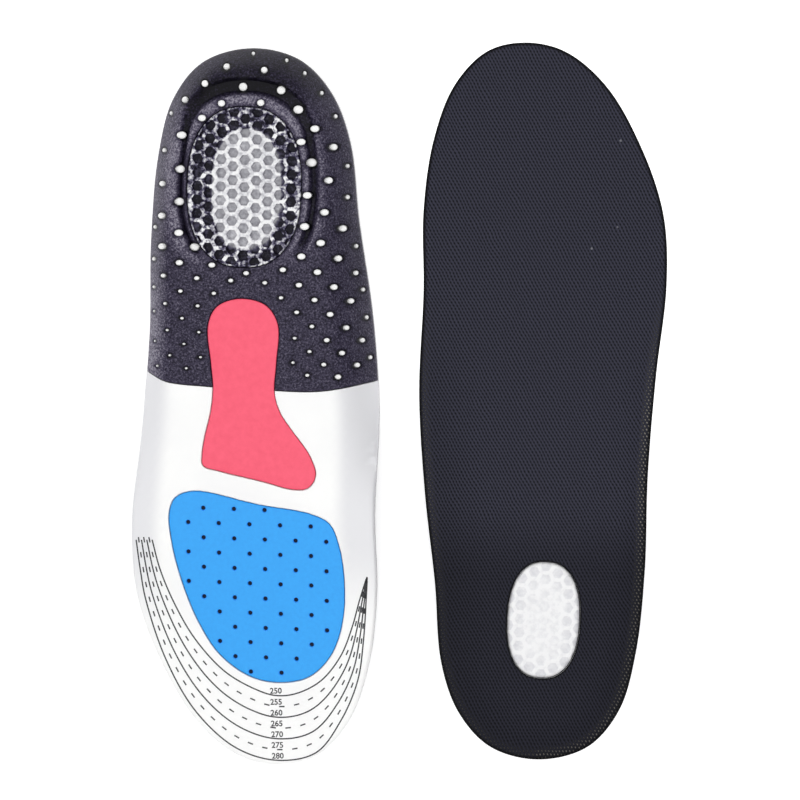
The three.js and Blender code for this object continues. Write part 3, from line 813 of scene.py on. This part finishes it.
PAD_PINS = dict(start=(-1.9, 182.9), across=12.25, along=5.9, closing=0, lean=-0.055, drift=0.02)
PAD_PIN_RADIUS, PAD_PIN_ROUND, PAD_PIN_DEPTH = 0.85, 0.3, 1.9
pad_pins = pin_grid(**PAD_PINS)
pad_pins = pad_pins[measured(pad_pins, pad_edge)[0] > 1.35]
pad_radii, pad_stretches = np.full(len(pad_pins), PAD_PIN_RADIUS), np.ones(len(pad_pins))
pad_rings = rounded_rings(pad_edge, 0.6)
for away in (0.04, 0.15, 0.3, 0.7, 1.3):
    pad_rings += pin_rings(pad_pins, pad_radii, away, pad_stretches)
places, triangles = triangulated(
    [pad_edge, *pin_rings(pad_pins, pad_radii, 0, pad_stretches)], pad_rings, 2.4)
middles = places[triangles].mean(1)
kinds = np.where(to_pins(middles, pad_pins, pad_radii, pad_stretches) < 0, 1, 0)
kinds[measured(middles, pad_edge)[0] < 0] = -1
edges = rounding(np.maximum(measured(places, pad_edge)[0], 0), 0.6)
beyond_pin = to_pins(places, pad_pins, pad_radii, pad_stretches)
points, faces = layered(
    places, triangles, kinds,
    [edges + rounding(np.maximum(beyond_pin, 0), PAD_PIN_ROUND), np.full(len(places), PAD_PIN_DEPTH)],
    [INSERT_THICKNESS - edges * 0.5] * 2,
)
beyond_pin = to_pins(points[:, :2], pad_pins, pad_radii, pad_stretches)
# Painted highlight on each hole's lip, and painted shade down its wall.
lip = 0.33 - 0.2 * smoothstep(0.75, 0.3, beyond_pin)
pit = np.where((points[:, 2] > 1) & (points[:, 2] < 2) & (beyond_pin < 0.05), 1, lip)
for side in PLACES:
    pad = piece_on(side, "punched_forefoot_pad", points, faces, blue_foam, pit=pit)
    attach(pad, f"{side}_insole")
    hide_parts(f"{side}_forefoot_pad")


# ---- The trim lines ----
# The toe end is pad-printed in black ink with seven lines to cut along, one for each foot length in
# millimetres: every other one is dashed, and each has its size beside it.

# Solvent ink soaks into the foam's skin, so it is matt and a little uneven, and has almost no height.
ink, shader = material_named("pad_print_ink_black", "#2E2E30", 0.7)
spot = on_object(ink)
soak = noise(ink, spot, 900.0, 2.0)
ramp(ink, soak, [(0.35, "#262628"), (0.7, "#3E3E42")], shader.inputs["Base Color"])

SMALLEST_LINE = [
    (43.5, 194), (40.6, 206.1), (34.9, 220.6), (27.2, 234.4), (15.6, 247.5), (2.9, 255), (-4.2, 257.2),
    (-12.2, 256.6), (-22.3, 251.7), (-30.6, 241.9), (-35.7, 230), (-38.7, 220.1), (-41.7, 211.3),
]
LARGEST_LINE = [
    (49.9, 193.9), (48.6, 206), (46.8, 217.9), (39.4, 242.1), (28, 263.2), (12.3, 278), (-4, 283.2),
    (-19.6, 280.4), (-29.9, 267.8), (-37.1, 252), (-39.9, 236.1), (-42.1, 212.1),
]
SIZES = range(250, 285, 5)
LINE_WIDTH, DASH_LENGTH, DASH_PITCH = 0.55, 2.2, 6.0
INK_PROUD, INK_SOAKED = 0.03, 0.01
INK_MIDDLE = 0.005 - INK_PROUD / 2


def halves(points, count=60):
    """A line as that many points on each side of its furthest point towards the toes."""
    line = curve_through(points, 0.5, closed=False)
    tip = int(line[:, 1].argmax())
    sides = []
    for part in (line[: tip + 1], line[tip:]):
        run = np.concatenate([[0], np.cumsum(np.linalg.norm(np.diff(part, axis=0), axis=1))])
        at = np.linspace(0, run[-1], count)
        sides.append(np.stack([np.interp(at, run, part[:, i]) for i in (0, 1)], 1))
    return np.vstack([sides[0], sides[1][1:]])


line_tree, given, result = new_tree(
    "trim_line_ink", Dashed="Bool", Width="Float", Dash="Float", Pitch="Float", Height="Float",
    Ink="Material")
path = node(line_tree, "GeometryNodeMeshToCurve", Mesh=given["Geometry"]).outputs[0]
section = node(line_tree, "GeometryNodeCurvePrimitiveQuadrilateral",
               Width=given["Width"], Height=given["Height"])
drawn = node(line_tree, "GeometryNodeCurveToMesh", Curve=path,
             Profile_Curve=section.outputs[0], Fill_Caps=True)
stops = node(line_tree, "GeometryNodeResampleCurve", mode="LENGTH", Curve=path, Length=given["Pitch"])
along = node(line_tree, "GeometryNodeInputTangent").outputs[0]
turned = node(line_tree, "FunctionNodeAlignRotationToVector", axis="X", Vector=along).outputs[0]
bar = node(line_tree, "ShaderNodeCombineXYZ",
           X=given["Dash"], Y=given["Width"], Z=given["Height"]).outputs[0]
dash = node(line_tree, "GeometryNodeMeshCube", Size=bar).outputs[0]
dashes = node(line_tree, "GeometryNodeInstanceOnPoints", Points=stops.outputs[0],
              Instance=dash, Rotation=turned)
chosen = node(line_tree, "GeometryNodeSwitch", input_type="GEOMETRY", Switch=given["Dashed"],
              False_=drawn.outputs[0], True_=dashes.outputs[0])
whole = node(line_tree, "GeometryNodeRealizeInstances", Geometry=chosen.outputs[0])
node(line_tree, "GeometryNodeSetMaterial", result, Geometry=whole.outputs[0], Material=given["Ink"])
smallest, largest = halves(SMALLEST_LINE), halves(LARGEST_LINE)


def merged(meshes):
    """Several meshes as one."""
    points, faces, start = [], [], 0
    for mesh in meshes:
        points += [tuple(v.co) for v in mesh.vertices]
        faces += [[start + i for i in face.vertices] for face in mesh.polygons]
        start += len(mesh.vertices)
    whole = bpy.data.meshes.new("merged")
    whole.from_pydata(points, [], faces)
    return whole


def ink_line(size):
    """One printed line, on the insole's own drawing."""
    share = (size - SIZES[0]) / (SIZES[-1] - SIZES[0])
    line = smallest * (1 - share) + largest * share
    seed = bpy.data.meshes.new("line")
    height = np.full(len(line), INK_MIDDLE)
    links = [(i, i + 1) for i in range(len(line) - 1)]
    seed.from_pydata((np.column_stack([line, height]) / 1000).tolist(), links, [])
    return line, grown(line_tree, seed, Dashed=size % 10 == 5, Width=LINE_WIDTH / 1000,
                       Dash=DASH_LENGTH / 1000, Pitch=DASH_PITCH / 1000,
                       Height=(INK_PROUD + INK_SOAKED) / 1000, Ink=ink)


LABEL_X, LABEL_TALL, LABEL_GAP = -4.3, 2.3, 0.75
CAPITAL_SHARE, LABEL_BOLD = 0.72, 0.00007  # a figure's height over the font's size, and metres of swell


def ink_number(size, line, mirrored):
    """A line's size, on its heel side, set to be read from below with the toes towards the reader."""
    letters = bpy.data.curves.new("number", "FONT")
    letters.body = str(size)
    letters.align_x = "CENTER"
    letters.size = LABEL_TALL / CAPITAL_SHARE / 1000
    letters.extrude = (INK_PROUD + INK_SOAKED) / 2000
    letters.offset = LABEL_BOLD
    letters.resolution_u = 3
    setter = bpy.data.objects.new("number", letters)
    bpy.context.scene.collection.objects.link(setter)
    bpy.context.view_layer.update()
    graph = bpy.context.evaluated_depsgraph_get()
    mesh = bpy.data.meshes.new_from_object(setter.evaluated_get(graph), depsgraph=graph)
    bpy.data.objects.remove(setter)
    foot = line[np.abs(line[:, 0] - LABEL_X).argmin(), 1] - LABEL_GAP
    place = Matrix.Translation((LABEL_X / 1000, foot / 1000, INK_MIDDLE / 1000))
    across = -1 if mirrored else 1
    mesh.transform(place @ Matrix.Rotation(math.pi, 4, "Z") @ Matrix.Diagonal((across, 1, 1, 1)))
    if mirrored:
        mesh.flip_normals()
    return mesh


for side in PLACES:
    print_run = []
    for size in SIZES:
        line, mesh = ink_line(size)
        print_run += [mesh, ink_number(size, line, mirrored=side == "right")]
    mesh = merged(print_run)
    mesh.materials.append(ink)
    settled(side, "trim_line_print", mesh)


# ---- The top cover ----
# A thin charcoal polyester knit with a foam backing, glued over the whole foot side, drawn down into the heel
# cup while the foam is hot, and trimmed at the edge and round the window with a die.

# Dull knit with rows of small dark pores between the ribs. A rib is taken as 0.8 mm, and the pores are drawn
# at 1.4 by 1.3 mm. The trimmed edges are darkened, the heel's hollow is darkened as painted shade, and "open"
# is where the pores are stretched open. Pale specks at the ball of the foot are painted light, coming through
# the pad's holes.
knit, shader = material_named("polyester_knit_charcoal", "#2B2C35", 0.85)
shader.inputs["Sheen Weight"].default_value = 0.03
shader.inputs["Sheen Roughness"].default_value = 0.5
shader.inputs["Specular IOR Level"].default_value = 0.12
plan = node(knit, "ShaderNodeUVMap", uv_map="plan").outputs[0]
sway = node(knit, "ShaderNodeTexNoise", Vector=plan, Scale=0.12, Detail=2.0).outputs["Color"]
PORE_ACROSS, PORE_ALONG, SWAY = 1.4, 1.3, 1.4
shift = node(knit, "ShaderNodeVectorMath", operation="MULTIPLY_ADD",
             _0=sway, _1=(SWAY, SWAY, 0), _2=plan).outputs[0]
waves = []
for columns, rows in ((1, 0.5), (1, -0.5), (0, 1)):
    across, along = columns / PORE_ACROSS, rows / PORE_ALONG
    phase = node(knit, "ShaderNodeVectorMath", operation="DOT_PRODUCT", _0=shift,
                 _1=(2 * math.pi * across, 2 * math.pi * along, 0)).outputs["Value"]
    waves.append(maths(knit, "COSINE", phase))
rib = maths(knit, "MULTIPLY_ADD", waves[0], 3.6, waves[1])
pores = maths(knit, "ADD", rib, waves[2])
fuzz = noise(knit, plan, 2.2, 3.0)
rough = maths(knit, "MULTIPLY_ADD", fuzz, 2.4, pores)
mesh_mask = node(knit, "ShaderNodeMapRange", Value=rough, From_Min=0.2, From_Max=6.5).outputs[0]
yarn = ramp(knit, mesh_mask, [(0.0, "#383845"), (0.45, "#282932"), (0.8, "#0F1015")])
through = ramp(knit, mesh_mask, [(0.55, "#23242A"), (0.85, "#A8A39A")])
opened = attribute(knit, "open")
rim = attribute(knit, "rim")
cloth = node(knit, "ShaderNodeMix", data_type="RGBA", _0=opened, _6=yarn, _7=through).outputs[2]
# Painted light: pale specks at the ball of the foot, coming through the pad's holes.
cells_at = node(knit, "ShaderNodeTexVoronoi", Vector=plan, Scale=0.095, Randomness=0.5).outputs["Distance"]
speck = node(knit, "ShaderNodeMapRange", Value=cells_at,
             From_Min=0.062, From_Max=0.03, To_Max=0.55).outputs[0]
height = node(knit, "ShaderNodeSeparateXYZ", Vector=plan).outputs[1]
forefoot = node(knit, "ShaderNodeMapRange", Value=height, From_Min=172.0, From_Max=186.0).outputs[0]
pinned = maths(knit, "MULTIPLY", speck, forefoot)
specked = node(knit, "ShaderNodeMix", data_type="RGBA",
               _0=pinned, _6=cloth, _7=linear("#8A8B92")).outputs[2]
edge = node(knit, "ShaderNodeMix", data_type="RGBA", _0=rim, _6=specked, _7=linear("#08080B")).outputs[2]
knit.node_tree.links.new(edge, shader.inputs["Base Color"])
relief = maths(knit, "MULTIPLY", rough, -0.25)
node(knit, "ShaderNodeBump", shader.inputs["Normal"], Height=relief, Strength=0.5, Distance=0.0002)

cover_rings = (rounded_rings(sole_edge, 0.35) + rounded_rings(gap_window, 0.35, 1)
               + [moved_out(sole_edge, -away) for away in (0.8, 1.4, 2.2, 3.2, 4.6)]
               + [moved_out(gap_window, away) for away in (0.8, 1.5)])
places, triangles = triangulated([sole_edge, gap_window], cover_rings, 2.2)
middles = places[triangles].mean(1)
kinds = np.where((measured(middles, sole_edge)[0] < 0) | (measured(middles, gap_window)[0] > 0), -1, 0)
sole = sole_heights(places)
beyond_window = np.maximum(-measured(places, gap_window)[0], 0)
top = sole.foot - rounding(sole.inward, 0.35) - rounding(beyond_window, 0.35)
points, faces = layered(places, triangles, kinds, [sole.foot - COVER_THICKNESS], [top])
inward = np.maximum(measured(points[:, :2], sole_edge)[0], 0)
from_window = -measured(points[:, :2], gap_window)[0]
rim = np.maximum(smoothstep(1.6, 0.5, inward), smoothstep(0.9, 0.2, from_window))
# Painted shade in the heel's hollow.
rim = np.maximum(rim, 0.42 * smoothstep(104, 70, points[:, 1]))
along_wall = smoothstep(190, 120, points[:, 1]) * np.where(points[:, 0] > 0, 1, 0.35)
opened = smoothstep(4.8, 1.4, inward) * along_wall * 0.75
for side in PLACES:
    cover = piece_on(side, "knit_top_cover", points, faces, knit, rim=rim, open=opened)
    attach(cover, f"{side}_insole")
    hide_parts(f"{side}_top_cover")
